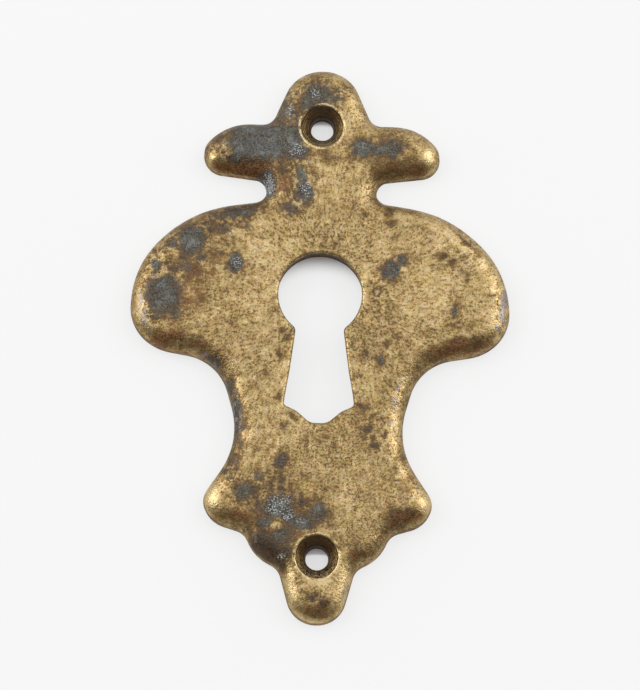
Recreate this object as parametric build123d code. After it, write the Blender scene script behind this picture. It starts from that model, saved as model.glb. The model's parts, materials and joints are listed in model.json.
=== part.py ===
from build123d import *

import os
from math import radians, sin, tan
from typing import NamedTuple

# Cast brass keyhole escutcheon, made in one piece and screwed over a cupboard lock.
# The back lies on the XY plane, +Z points out of the furniture's face and +Y up to the crown.
# The origin is the centre of the keyhole's eye, on the back. All sizes are in millimetres.

# Section of the plate: an upright rim at the back, then a round that rolls over to the flat front.
# The roll reaches in from the rim, and its sweep is the angle it turns through up to the front.
THICKNESS = 2.8
ROLL_REACH = 2.0
ROLL_SWEEP = 75

# The outline is drawn as the corners of its right half, from the crown down to the finial.
# Each corner has a reach from the middle line, a height from the eye and a rounding radius.

# Crown: the lobe round the upper screw
CROWN_REACH = 3.1
CROWN_HEIGHT = 27.3
CROWN_RADIUS = 4.5
CROWN_FOOT_REACH = 5.95
CROWN_FOOT_RADIUS = 1.6

# Ears: the pair of arms under the crown
EAR_SHOULDER_REACH = 11.15
EAR_SHOULDER_HEIGHT = 20.7
EAR_SHOULDER_RADIUS = 6.5
EAR_TIP_REACH = 16.4
EAR_TIP_HEIGHT = 15.15
EAR_TIP_RADIUS = 2.4

# Collar: the notch between the ears and the wings
COLLAR_TOP_REACH = 6.9
COLLAR_TOP_HEIGHT = 13.95
COLLAR_BASE_REACH = 5.9
COLLAR_BASE_HEIGHT = 11.5
COLLAR_RADIUS = 1.45

# Wings: the broad lobes on both sides of the keyhole
WING_SHOULDER_REACH = 15.05
WING_SHOULDER_HEIGHT = 10.15
WING_SHOULDER_RADIUS = 15.2
WING_FLANK_REACH = 21.65
WING_FLANK_HEIGHT = 3.6
WING_FLANK_RADIUS = 11.6
WING_TIP_REACH = 22.3
WING_TIP_HEIGHT = -4.15
WING_TIP_RADIUS = 5.3
WING_UNDERSIDE_REACH = 18.55
WING_UNDERSIDE_HEIGHT = -6.55
WING_UNDERSIDE_RADIUS = 6.0

# Waist: the long hollow under each wing
WAIST_TOP_REACH = 11.65
WAIST_TOP_HEIGHT = -7.75
WAIST_TOP_RADIUS = 5.9
WAIST_BASE_REACH = 8.9
WAIST_BASE_HEIGHT = -17.15
WAIST_BASE_RADIUS = 9.0

# Spurs: the short points under the waist
SPUR_SHOULDER_REACH = 13.4
SPUR_SHOULDER_HEIGHT = -23.9
SPUR_SHOULDER_RADIUS = 2.3
SPUR_TIP_REACH = 12.35
SPUR_TIP_HEIGHT = -26.6
SPUR_TIP_RADIUS = 3.6

# Scallops: the small bulges beside the finial
SCALLOP_TOP_REACH = 8.4
SCALLOP_TOP_HEIGHT = -27.8
SCALLOP_REACH = 7.15
SCALLOP_HEIGHT = -30.45
SCALLOP_RADIUS = 4.9
SCALLOP_FOOT_REACH = 4.4
SCALLOP_FOOT_HEIGHT = -31.9
SCALLOP_HOLLOW_RADIUS = 2.0

# Finial: the rounded drop round the lower screw
FINIAL_REACH = 2.65
FINIAL_HEIGHT = -38.2
FINIAL_RADIUS = 3.85

# Keyhole: a round eye over a slot that widens downwards and ends in a brace-shaped foot
EYE_DIAMETER = 9.7
SLOT_TOP_WIDTH = 4.5
SLOT_BASE_WIDTH = 7.85
SLOT_BASE_DROP = 13.35
SLOT_BASE_RADIUS = 0.3
SLOT_KNEE_WIDTH = 4.9
SLOT_KNEE_DROP = 14.05
SLOT_KNEE_RADIUS = 2.0
SLOT_TIP_WIDTH = 1.9
SLOT_TIP_DROP = 15.4
SLOT_TIP_RADIUS = 1.6
KEYHOLE_NECK_RADIUS = 0.8
KEYHOLE_EDGE_BREAK = 0.2

# Screw holes: one in the crown and one in the finial, countersunk from the front
SCREW_SPACING = 50.8
UPPER_SCREW_HEIGHT = 20.15
SCREW_HOLE_DIAMETER = 2.6
COUNTERSINK_DIAMETER = 5.1
COUNTERSINK_ANGLE = 82

# Share of a straight run that its two corner arcs may take up, so that a little of it is left
RUN_SHARE = 0.97
# Share of the tightest outward corner that the roll may take up
BULGE_SHARE = 0.92


class Corner(NamedTuple):
    """A corner of an outline before it is rounded."""

    reach: float
    height: float
    radius: float

    @property
    def point(self):
        return Vector(self.reach, self.height)


def closed_clockwise(right_half):
    """Join a right half, listed from its top down, to its mirror image."""
    left_half = [corner._replace(reach=-corner.reach) for corner in reversed(right_half)]
    return right_half + left_half


def turns(corners):
    """Turn of a closed outline at each corner, in degrees. A corner that points outwards is negative."""
    result = []
    for index, corner in enumerate(corners):
        following = corners[(index + 1) % len(corners)]
        arriving = corner.point - corners[index - 1].point
        leaving = following.point - corner.point
        result.append(arriving.get_signed_angle(leaving, Vector(0, 0, 1)))
    return result


def fitted_radii(corners):
    """Radius at each corner, cut down where two arcs would need more than the run between them."""
    tangents = []
    for corner, turn in zip(corners, turns(corners)):
        tangents.append(corner.radius * tan(radians(abs(turn) / 2)))
    radii = [corner.radius for corner in corners]
    for index, corner in enumerate(corners):
        wanted = tangents[index - 1] + tangents[index]
        room = RUN_SHARE * (corner.point - corners[index - 1].point).length
        if wanted > room:
            for end in (index - 1, index):
                radii[end] = min(radii[end], corners[end].radius * room / wanted)
    return radii


def rounded_face(corners):
    """Face inside a closed outline of straight runs and tangent arcs."""
    points = [corner.point for corner in corners]
    return make_face(FilletPolyline(*points, radius=fitted_radii(corners), close=True))


def plate_outline():
    """Corners of the scrolled outline, crown to finial and back."""
    right_half = [
        Corner(CROWN_REACH, CROWN_HEIGHT, CROWN_RADIUS),
        Corner(CROWN_FOOT_REACH, EAR_SHOULDER_HEIGHT, CROWN_FOOT_RADIUS),
        Corner(EAR_SHOULDER_REACH, EAR_SHOULDER_HEIGHT, EAR_SHOULDER_RADIUS),
        Corner(EAR_TIP_REACH, EAR_TIP_HEIGHT, EAR_TIP_RADIUS),
        Corner(COLLAR_TOP_REACH, COLLAR_TOP_HEIGHT, COLLAR_RADIUS),
        Corner(COLLAR_BASE_REACH, COLLAR_BASE_HEIGHT, COLLAR_RADIUS),
        Corner(WING_SHOULDER_REACH, WING_SHOULDER_HEIGHT, WING_SHOULDER_RADIUS),
        Corner(WING_FLANK_REACH, WING_FLANK_HEIGHT, WING_FLANK_RADIUS),
        Corner(WING_TIP_REACH, WING_TIP_HEIGHT, WING_TIP_RADIUS),
        Corner(WING_UNDERSIDE_REACH, WING_UNDERSIDE_HEIGHT, WING_UNDERSIDE_RADIUS),
        Corner(WAIST_TOP_REACH, WAIST_TOP_HEIGHT, WAIST_TOP_RADIUS),
        Corner(WAIST_BASE_REACH, WAIST_BASE_HEIGHT, WAIST_BASE_RADIUS),
        Corner(SPUR_SHOULDER_REACH, SPUR_SHOULDER_HEIGHT, SPUR_SHOULDER_RADIUS),
        Corner(SPUR_TIP_REACH, SPUR_TIP_HEIGHT, SPUR_TIP_RADIUS),
        Corner(SCALLOP_TOP_REACH, SCALLOP_TOP_HEIGHT, SCALLOP_HOLLOW_RADIUS),
        Corner(SCALLOP_REACH, SCALLOP_HEIGHT, SCALLOP_RADIUS),
        Corner(SCALLOP_FOOT_REACH, SCALLOP_FOOT_HEIGHT, SCALLOP_HOLLOW_RADIUS),
        Corner(FINIAL_REACH, FINIAL_HEIGHT, FINIAL_RADIUS),
    ]
    return closed_clockwise(right_half)


def rolled_plate():
    """The blank plate: a wider block with a rounded front edge, trimmed back to the outline."""
    corners = plate_outline()
    bulges = [radius for radius, turn in zip(fitted_radii(corners), turns(corners)) if turn < 0]
    reach = min(ROLL_REACH, BULGE_SHARE * min(bulges))
    roll_radius = reach / sin(radians(ROLL_SWEEP))
    face = rounded_face(corners)
    block = extrude(offset(face, roll_radius - reach), THICKNESS)
    front = block.faces().sort_by(Axis.Z)[-1]
    return fillet(front.edges(), roll_radius) & extrude(face, THICKNESS)


def keyhole_face():
    """Outline of the keyhole: the eye and the slot, with a rounded neck where they meet."""
    right_half = [
        Corner(SLOT_TOP_WIDTH / 2, 0, 0),
        Corner(SLOT_BASE_WIDTH / 2, -SLOT_BASE_DROP, SLOT_BASE_RADIUS),
        Corner(SLOT_KNEE_WIDTH / 2, -SLOT_KNEE_DROP, SLOT_KNEE_RADIUS),
        Corner(SLOT_TIP_WIDTH / 2, -SLOT_TIP_DROP, SLOT_TIP_RADIUS),
    ]
    keyhole = Circle(EYE_DIAMETER / 2) + rounded_face(closed_clockwise(right_half))
    below_eye = keyhole.vertices().filter_by(lambda vertex: vertex.Y < -EYE_DIAMETER / 4)
    neck = below_eye.sort_by_distance((0, 0))[:2]
    return fillet(neck, KEYHOLE_NECK_RADIUS)


def with_keyhole(plate):
    """Pierce the keyhole and break its edge at the front."""
    plate = plate - extrude(keyhole_face(), THICKNESS)
    front = plate.faces().sort_by(Axis.Z)[-1]
    rim = front.inner_wires()[0].edges()
    return chamfer(rim, KEYHOLE_EDGE_BREAK)


def with_screw_holes(plate):
    """Drill the two screw holes and countersink them from the front."""
    hole = CounterSinkHole(
        radius=SCREW_HOLE_DIAMETER / 2,
        counter_sink_radius=COUNTERSINK_DIAMETER / 2,
        depth=THICKNESS,
        counter_sink_angle=COUNTERSINK_ANGLE,
    )
    for height in (UPPER_SCREW_HEIGHT, UPPER_SCREW_HEIGHT - SCREW_SPACING):
        plate = plate - Pos(0, height, THICKNESS) * hole
    return plate


escutcheon_plate = with_screw_holes(with_keyhole(rolled_plate()))

os.makedirs("parts", exist_ok=True)
export_step(escutcheon_plate, "parts/escutcheon_plate.step")
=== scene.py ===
import json
from functools import partial, reduce
from math import atan, cos, pi, radians, sin

import bpy
import numpy as np
from mathutils import Matrix, Vector
from mathutils import noise as perlin
from mathutils.kdtree import KDTree


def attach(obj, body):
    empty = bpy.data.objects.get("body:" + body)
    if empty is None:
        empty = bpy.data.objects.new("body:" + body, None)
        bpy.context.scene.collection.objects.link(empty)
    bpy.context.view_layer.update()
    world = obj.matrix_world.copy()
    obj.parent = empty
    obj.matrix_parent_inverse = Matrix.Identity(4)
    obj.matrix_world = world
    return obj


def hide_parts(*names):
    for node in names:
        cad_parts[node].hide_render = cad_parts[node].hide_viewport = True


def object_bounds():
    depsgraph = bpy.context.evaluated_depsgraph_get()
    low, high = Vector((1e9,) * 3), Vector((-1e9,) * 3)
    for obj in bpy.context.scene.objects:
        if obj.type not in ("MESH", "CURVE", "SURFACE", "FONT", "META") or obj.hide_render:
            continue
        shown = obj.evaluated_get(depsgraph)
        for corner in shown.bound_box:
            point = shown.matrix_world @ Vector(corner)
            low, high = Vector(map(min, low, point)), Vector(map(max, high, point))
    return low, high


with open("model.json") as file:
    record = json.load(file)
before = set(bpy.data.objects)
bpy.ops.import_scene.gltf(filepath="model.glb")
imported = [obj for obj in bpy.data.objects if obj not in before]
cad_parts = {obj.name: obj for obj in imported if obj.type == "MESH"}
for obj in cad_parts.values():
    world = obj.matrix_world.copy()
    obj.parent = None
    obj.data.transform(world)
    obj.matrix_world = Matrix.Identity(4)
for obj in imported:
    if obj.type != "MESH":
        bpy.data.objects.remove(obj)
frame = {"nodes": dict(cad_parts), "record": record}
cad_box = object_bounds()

# Antique keyhole escutcheon: one cast brass plate with a rolled edge, worn and tarnished by age.
# Places and sizes below are in millimetres, in the frame of the plate: the eye's centre on the back is zero.
# A fade is two values: where it is nothing and where it is full.
MM = 0.001

# Plate, as in the frame
PLATE_LOW, PLATE_HIGH = (corner / MM for corner in cad_box)
THICKNESS = PLATE_HIGH.z
MOUNTS = {mount["name"]: mount for mount in frame["record"]["mounts"]}
EYE_RADIUS = MOUNTS["keyhole_eye"]["dims"]["r_mm"]
SCREW_MIDDLE = MOUNTS["screw_holes"]["pos_m"][1] / MM
SCREW_SPACING = MOUNTS["screw_holes"]["dims"]["spacing_y_mm"]
SCREW_HEIGHTS = (SCREW_MIDDLE + SCREW_SPACING / 2, SCREW_MIDDLE - SCREW_SPACING / 2)
COUNTERSINK_RADIUS = 2.55
KEYHOLE_FOOT = -15.5
FINIAL_TOP = -32.5

# Skin of the casting: size of its faces, its smoothing, and the share of faces kept on the flat back
SKIN_CELL = 0.165
SKIN_SMOOTHING = 3
MERGE_GAP = 0.001
BACK_HEIGHT = 0.01
BACK_FACES_KEPT = 0.08
# Upright walls: the heights between which they are looked for, and how far their normals may lean
WALL_HEIGHTS = (0.3, 0.9)
WALL_LEAN = 0.3
KEYHOLE_MARGIN = 0.5
# Depth inside the rim is measured square to the rim up to this reach
SQUARE_REACH = 0.6
# The roll as worn, wider than it was cast, and the room left inside the plate's box
ROLL_REACH = 2.6
RIM_HEIGHT = 1.27
BOX_MARGIN = 0.01
# The casting leans: its right side lies lower, by this share of the reach
CAST_SKEW = 0.0083
# Keyhole as cast: its wall widens towards the back, its front edge is worn round, and it is a little closed.
# Towards its foot the closing of the sides gives way to a rise of the foot.
KEYHOLE_DRAFT = 0.3
KEYHOLE_DRAFT_FADE = (0.6, 0.2)
KEYHOLE_CLOSE = 0.1
KEYHOLE_CLOSE_FADE = (1.2, 0.4)
KEYHOLE_FOOT_RISE = 0.36
KEYHOLE_FOOT_FADE = (-9.0, -12.5)
KEYHOLE_EASE_REACH = 0.7
KEYHOLE_EASE_DROP = 0.2
# Unevenness of the front: name, size and depth of each wave, and the level of its cloud that stays in place
WAVES = (("broad_wave", 7.0, 0.1, 1.1), ("small_wave", 2.2, 0.035, 0.85))
WAVES_ABOVE = 0.3
FRONT_SMOOTHING = 2
CRISP_EDGE_FADE = (0.1, 0.7)
# A point belongs to the front where its normal rises by more than this
FRONT_NORMAL = 0.3

# Grains that stand on the casting: x, y, radius and height
GRAINS = (
    (-4.8, -27.2, 0.93, 0.09),
    (-7.0, -28.2, 0.58, 0.13),
    (-11.2, 17.8, 0.55, 0.18),
    (-9.1, 18.2, 0.40, 0.12),
    (-12.8, 16.1, 0.55, 0.12),
    (-1.6, 24.8, 0.40, 0.13),
    (0.0, 25.3, 0.36, 0.12),
    (-16.3, -5.9, 0.29, 0.1),
    (-6.2, 19.8, 0.46, 0.05),
)

# Camera: tilt from straight down, roll in degrees, distance in millimetres, and the size of a pixel there
CAMERA_TILT = 12.0
CAMERA_ROLL = 0.7375
CAMERA_DISTANCE = 370.0
CAMERA_TARGET = (0.06, -5.46, 0.0)
PIXEL = 0.1162
PICTURE_LONG_SIDE = 690
SENSOR = 36.0
CAMERA_CLIP = (0.01, 20)

# Light: place and size of each lamp in metres, with its radiance against the plain level of 1
ROOM_LEVEL = 0.3
LAMPS = (
    ("lamp_overhead", (0.0, 0.25, 0.8), (1.2, 1.0), 1.0),
    ("lamp_left", (-0.62, 0.18, 0.36), (0.7, 0.55), 2.65),
    ("lamp_right", (0.62, 0.18, 0.36), (0.7, 0.55), 2.4),
    ("lamp_back", (0.0, 0.75, 0.28), (1.4, 0.5), 0.9),
)

# Table: its side in metres, how far it lies under the plate, its white, and the share of it that glows
TABLE_SIDE = 6
TABLE_DROP = 0.02
TABLE_WHITE = (0.905, 0.905, 0.905, 1)
TABLE_GLOW = 0.78
# Table in each hole: height and reach of the hole, and half width, half height and level of the bright part
# that lies below its shaded top
HOLE_SHADES = (
    (0.0, 5.8, 5.6, 3.4, 1.0),
    (SCREW_HEIGHTS[0], 2.2, 2.0, 0.75, 0.78),
    (SCREW_HEIGHTS[1], 2.2, 2.0, 0.54, 0.78),
)
HOLE_SHADE_FADE = (1.5, 0.8)

# Colours of the brass, from rubbed bright through brown to slate, by depth of tarnish
TARNISH = (
    (0.00, (0.70, 0.54, 0.295, 1)),
    (0.18, (0.450, 0.315, 0.135, 1)),
    (0.32, (0.300, 0.200, 0.078, 1)),
    (0.46, (0.190, 0.116, 0.042, 1)),
    (0.60, (0.120, 0.072, 0.034, 1)),
    (0.75, (0.080, 0.050, 0.027, 1)),
    (1.00, (0.054, 0.037, 0.024, 1)),
)
# Tones that run into each other in the dark tarnish
SLATE = (
    (0.00, (0.090, 0.063, 0.042, 1)),
    (0.25, (0.072, 0.058, 0.042, 1)),
    (0.50, (0.086, 0.084, 0.066, 1)),
    (0.75, (0.106, 0.102, 0.087, 1)),
    (1.00, (0.152, 0.148, 0.135, 1)),
)
SLATE_BLUE = (0.092, 0.095, 0.095, 1)
CRUST_BLACK = (0.018, 0.015, 0.012, 1)
RUST = (0.250, 0.112, 0.044, 1)
# Lilac grey of the film on the rolls, which also serves as painted sheen
FILM_AND_SHEEN = (0.25, 0.215, 0.195, 1)
LIP_GOLD_AND_HIGHLIGHT = (0.66, 0.51, 0.27, 1)
PIT_BROWN = (0.080, 0.050, 0.020, 1)
BLOOM = (0.25, 0.27, 0.27, 1)
# Share of each colour where its mask is full
RUST_SHARE = 0.65
BLUE_SHARE = 0.45
BLACK_SHARE = 0.6
FILM_AND_SHEEN_SHARE = 0.8
SPECK_SHARE = 0.45
LIP_AND_HIGHLIGHT_SHARE = 0.8

# Noises in the brass: size in millimetres, detail and roughness
NOISES = {
    "broad": (5.0, 2.0, 0.5),
    "mottle": (1.3, 3.0, 0.6),
    "crumb": (0.55, 3.0, 0.65),
    "fine": (0.28, 3.0, 0.65),
    "grit": (0.18, 1.0, 0.5),
    "slate": (1.7, 5.0, 0.7),
    "tint": (0.8, 4.0, 0.65),
}
# How strongly noises shift the depth of tarnish, the edges of what is painted, and the brightness
CLOUDS = {"broad": 0.4, "mottle": 0.6}
GRAIN = {"fine": 1.45, "grit": 1.3, "crumb": 0.5}
CRUMBS = {"crumb": 1.2}
RUST_EDGE = {"mottle": 0.9}
SLATE_EDGE = {"mottle": 0.5, "crumb": 0.8, "grit": 0.6}
FILM_AND_SHEEN_EDGE = {"crumb": 1.2, "fine": 0.5}
RING_WANDER = {"mottle": 0.15}
SPARKLE = {"grit": 2.7, "fine": 1.8}
DULLEST = 0.45
# Clouds and crumbs grow by these shares in stains, crumbs by the last where they are painted
CLOUDS_IN_STAINS = 0.8
CRUMBS_IN_STAINS = 0.8
CRUMBS_PAINTED = 2.2
# Shifts, specks, sparkle and roughness are less by these amounts where the brass is rubbed and where
# highlights are painted
RUBBED_AND_HIGHLIT_SHIFT = 0.6
RUBBED_AND_HIGHLIT_SPECKS = 0.5
RUBBED_AND_HIGHLIT_SPARKLE = 0.5
RUBBED_AND_HIGHLIT_ROUGHNESS = 0.15
# Sparkle is less by these amounts in slate and in the screw holes
SLATE_SPARKLE = 0.1
HOLE_SPARKLE = 0.7
# Slight change of hue from place to place, by colour channel: spread of the noise, and what is added to it
TINT_SPREAD = (0.3, 0.12, 0.8)
TINT_BASE = (0.85, 0.94, 0.6)

# Fades by depth of tarnish
STAINED_FADE = (0.25, 0.5)
RUST_DEPTH_FADE = (0.2, 0.4)
SPECK_DEPTH_FADE = (0.75, 0.45)
CRUST_DEPTH_FADE = (0.5, 0.75)
# Fades by what is painted
RUST_FADE = (0.15, 0.9)
SLATE_FADE = (0.24, 0.8)
FILM_AND_SHEEN_FADE = (0.35, 0.65)
BLUE_FADE = (1.0, 1.5)
SALT_FADE = (0.1, 0.7)
# Slate grows paler with thickness, and its tones are spread over this stretch
SLATE_THICKNESS = 0.25
SLATE_TONE_FADE = (0.59, 0.91)
# Fades by noise: crust, crowded specks, specks, crystals of salt, and gaps in the lip of a countersink
CRUST_FADE = (0.46, 0.34)
CROWD_FADE = (0.35, 0.65)
SPECK_FADE = (0.62, 0.70)
SPECK_CROWDING = 0.08
CRYSTAL_FADE = (0.58, 0.72)
CRYSTAL_CROWDING = 0.12
LIP_GAP_FADE = (0.58, 0.48)
# Pits: size of a cell, share of cells with a pit, and strength
SMALL_PITS = (0.36, 0.35, 0.6)
LARGE_PITS = (1.4, 0.2, 0.4)
# Radius of a pit, least and spread, and width of its slope, in cells
PIT_RADIUS = (0.14, 0.28)
PIT_SLOPE = 0.14
# Screw holes by distance from their axis: their edge, the grime low in them, its rings, and the burnished lip
# with its painted highlight
HOLE_FADE = (2.62, 2.5)
LOW_GRIME = 0.25
LOW_GRIME_FADE = (2.1, 1.6)
RING_SCALE = 5.0
RING_DETAIL = 2.0
RING_DEPTH = 2.0
LIP_RADIUS = 2.68
LIP_FADE = (0.16, 0.05)
# Share of the metal that is hidden by crust, by kind
SLATE_CRUST = 0.3
SPECK_CRUST = 0.15
TARNISH_CRUST = 0.4
# Roughness, with what mottling, the raw back and the walls add to it, and the thin coat
ROUGHNESS = 0.2
MOTTLE_ROUGHNESS = 0.3
RAW_ROUGHNESS = 0.15
WALL_ROUGHNESS = 0.25
COAT = 0.05
COAT_ROUGHNESS = 0.25
# Fine relief: what each kind adds to the fine noise, its strength and its height
GRIT_RELIEF = 0.7
SPECK_RELIEF = -0.8
SLATE_RELIEF = 0.5
CRYSTAL_RELIEF = 0.5
RELIEF_STRENGTH = 0.8
RELIEF_HEIGHT = 0.065

# Painted values, three to a layer
PAINT = {
    "patina_and_shade": ("tarnish_and_shade", "slate", "salts"),
    "wear_and_highlights": ("rubbed_and_highlit", "film_and_sheen", "rust"),
    "places": ("raw", "wall", "crumbs"),
}
# Depth of tarnish where nothing is painted, and the deepest in each kind of place
PLAIN_DEPTH = 0.215
STAIN_DEPTH = 0.55
UNDER_DEPTH = 0.44
EDGE_DEPTH = 0.27
# Inner walls of the keyhole and screw holes are dark: partly grime, partly painted shade
INNER_WALL_DEPTH_AND_SHADE = 0.64
RIM_DEPTH = 0.36
BACK_DEPTH = 0.44
# Rubbed spots, partly real wear and partly painted highlights: their depth of tarnish and how fully it is
# reached
RUBBED_AND_HIGHLIT_DEPTH = 0.06
RUBBED_AND_HIGHLIT_STRENGTH = 0.95
# Depth of tarnish in the screw holes, and the painted shade that darkens their upper sides: what is added
# towards their tops, and what is added again above their axes
HOLE_DEPTH = 0.32
HOLE_PAINTED_SHADE = 0.2
HOLE_TOP_PAINTED_SHADE = 0.22
# Fades of the places by normal: raw back, undersides of the roll, outer and inner walls
RAW_FADE = (1 / 3, 2 / 3)
UNDER_FADE = (0.2, 0.6)
OUTER_WALL_FADE = (0.5, 0.25)
INNER_WALL_FADE = (0.4, 0.15)
# Fades of the places by depth inside the rim, and where inner walls lie: depth from the rim, gap to a hole
UNDER_DEPTH_FADE = (-0.42, 0.78)
EDGE_FADE = (0.36, 0.06)
INNER_WALL_FROM_RIM = 1.5
INNER_WALL_GAP = 0.5
# Rust on the undersides
UNDER_RUST = 0.5
# Dabs end at this many half sizes, and the brown halo round slate further out
DAB_FADE = 1.5
HALO_FADE = 2.1
HALO_STRENGTH = 0.55
# Noise that makes the dabs' outlines uneven: size and reach of each shift, and the seed
WANDERS = ((4.0, 0.3), (1.6, 0.35), (0.7, 0.25))
WANDER_SEED = 2

# Dabs of patina on the front: x, y, half width, half height, turn in degrees, strength
SLATE_TARNISH = {
    "left ear": [
        (-7.0, 18.0, 4.2, 1.6, 0, 1.4), (-7.0, 19.5, 3.7, 1.0, -3, 1.5), (-9.2, 18.6, 1.5, 0.8, 0, 1.2),
        (-3.7, 19.0, 1.6, 1.4, 0, 1.1), (-3.0, 17.1, 1.6, 1.3, -20, 0.9), (-10.2, 16.2, 1.0, 0.7, 0, 0.8),
        (-5.2, 16.1, 1.4, 0.8, 0, 0.5), (-7.6, 13.9, 1.5, 0.5, 4, 0.85),
    ],
    "crown": [
        (-0.5, 24.1, 1.9, 1.2, 0, 1), (-1.6, 23.1, 1.3, 0.9, 0, 0.9), (1.6, 23.5, 1.3, 0.7, 0, 0.7),
        (2.4, 24.8, 0.5, 0.3, 0, 0.5), (-4.6, 22.4, 0.9, 2.0, 14, 0.75), (-2.9, 20.3, 0.9, 1.4, 0, 0.7),
        (-3.7, 24.0, 0.7, 0.9, 20, 0.5), (-2.5, 24.6, 0.6, 0.6, 0, 0.4), (0.9, 22.7, 0.8, 0.6, 0, 0.6),
    ],
    "collar": [
        (-6.3, 13.2, 0.9, 1.6, 0, 1.5), (-2.3, 14.2, 0.8, 1.4, 0, 0.75), (-2.0, 12.0, 1.2, 1.3, 25, 0.95),
        (-3.5, 10.2, 1.3, 0.6, 0, 0.75), (-2.1, 10.5, 0.5, 0.6, 0, 0.45),
    ],
    "right ear": [
        (4.9, 17.6, 1.4, 1.0, 0, 1.15), (8.1, 17.7, 1.5, 1.0, 0, 1.1), (6.4, 17.2, 1.0, 0.7, 0, 0.9),
        (2.7, 17.9, 0.6, 0.3, 0, 0.55), (1.4, 16.6, 0.7, 0.5, 0, 0.25),
    ],
    "left wing": [
        (-15.1, 6.5, 1.5, 1.6, 0, 1.2), (-15.4, 4.9, 1.0, 0.9, 0, 0.8), (-14.1, 4.3, 1.0, 0.7, 20, 0.7),
        (-16.0, 3.1, 1.2, 1.2, 0, 0.55), (-17.4, 5.7, 0.8, 0.7, 0, 0.8), (-19.1, 3.3, 0.8, 0.8, 0, 0.95),
        (-19.5, 2.1, 0.7, 0.8, 0, 0.6), (-18.2, -0.2, 2.0, 2.2, 0, 1.25), (-17.3, -2.2, 1.4, 0.8, 0, 0.8),
        (-15.3, -2.4, 0.6, 0.8, 0, 0.4), (-9.7, 9.8, 2.8, 0.7, 12, 0.85), (-11.3, 7.8, 1.0, 0.8, 0, 0.62),
        (-8.8, 7.9, 0.7, 0.6, 0, 0.5), (-10.1, 6.9, 0.7, 0.6, 0, 0.5), (-9.8, 5.7, 0.5, 0.3, 0, 0.4),
        (-9.7, 3.6, 0.9, 1.3, -15, 1.2), (-13.2, 8.1, 0.9, 0.7, 0, 0.4),
    ],
    "left waist": [
        (-6.6, -15.8, 0.3, 0.4, 0, 0.4), (-7.3, -13.6, 0.5, 0.9, 0, 0.35),
        (-9.5, -14.3, 0.6, 3.3, 3, 0.85), (-12.1, -8.1, 1.4, 0.7, -45, 0.72),
        (-10.4, -10.9, 0.5, 1.5, 22, 0.72),
    ],
    "right wing": [
        (8.4, 2.9, 1.1, 1.0, 0, 1.2), (9.6, 4.2, 1.0, 0.7, 0, 0.85), (8.2, 8.5, 0.6, 0.5, 0, 0.35),
        (15.6, -1.8, 0.5, 0.7, 0, 1.1), (15.3, 4.1, 0.3, 0.5, 0, 0.35), (16.9, 2.4, 0.3, 0.3, 0, 0.4),
    ],
    "right waist": [
        (7.0, -7.6, 0.4, 0.8, -15, 0.75), (5.8, -15.9, 0.5, 0.5, 0, 0.7), (4.7, -4.1, 0.3, 0.6, 0, 0.35),
    ],
    "lower left": [
        (-4.3, -19.4, 0.6, 1.0, -25, 0.9), (-6.8, -21.3, 0.8, 0.7, 0, 0.7),
        (-8.3, -23.2, 0.9, 1.3, 0, 0.85), (-4.7, -24.8, 1.9, 1.5, 0, 0.95),
        (-3.2, -26.1, 1.0, 0.9, 0, 0.85), (-6.0, -26.7, 0.9, 0.8, 0, 1), (-1.9, -26.8, 1.5, 1.0, 0, 1),
        (0.0, -25.7, 1.2, 1.2, 0, 0.9), (-3.9, -28.5, 1.5, 1.2, 0, 0.8), (-3.7, -30.8, 1.0, 0.9, 0, 0.5),
        (-1.6, -19.5, 0.8, 0.3, 40, 0.4),
    ],
}
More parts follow.
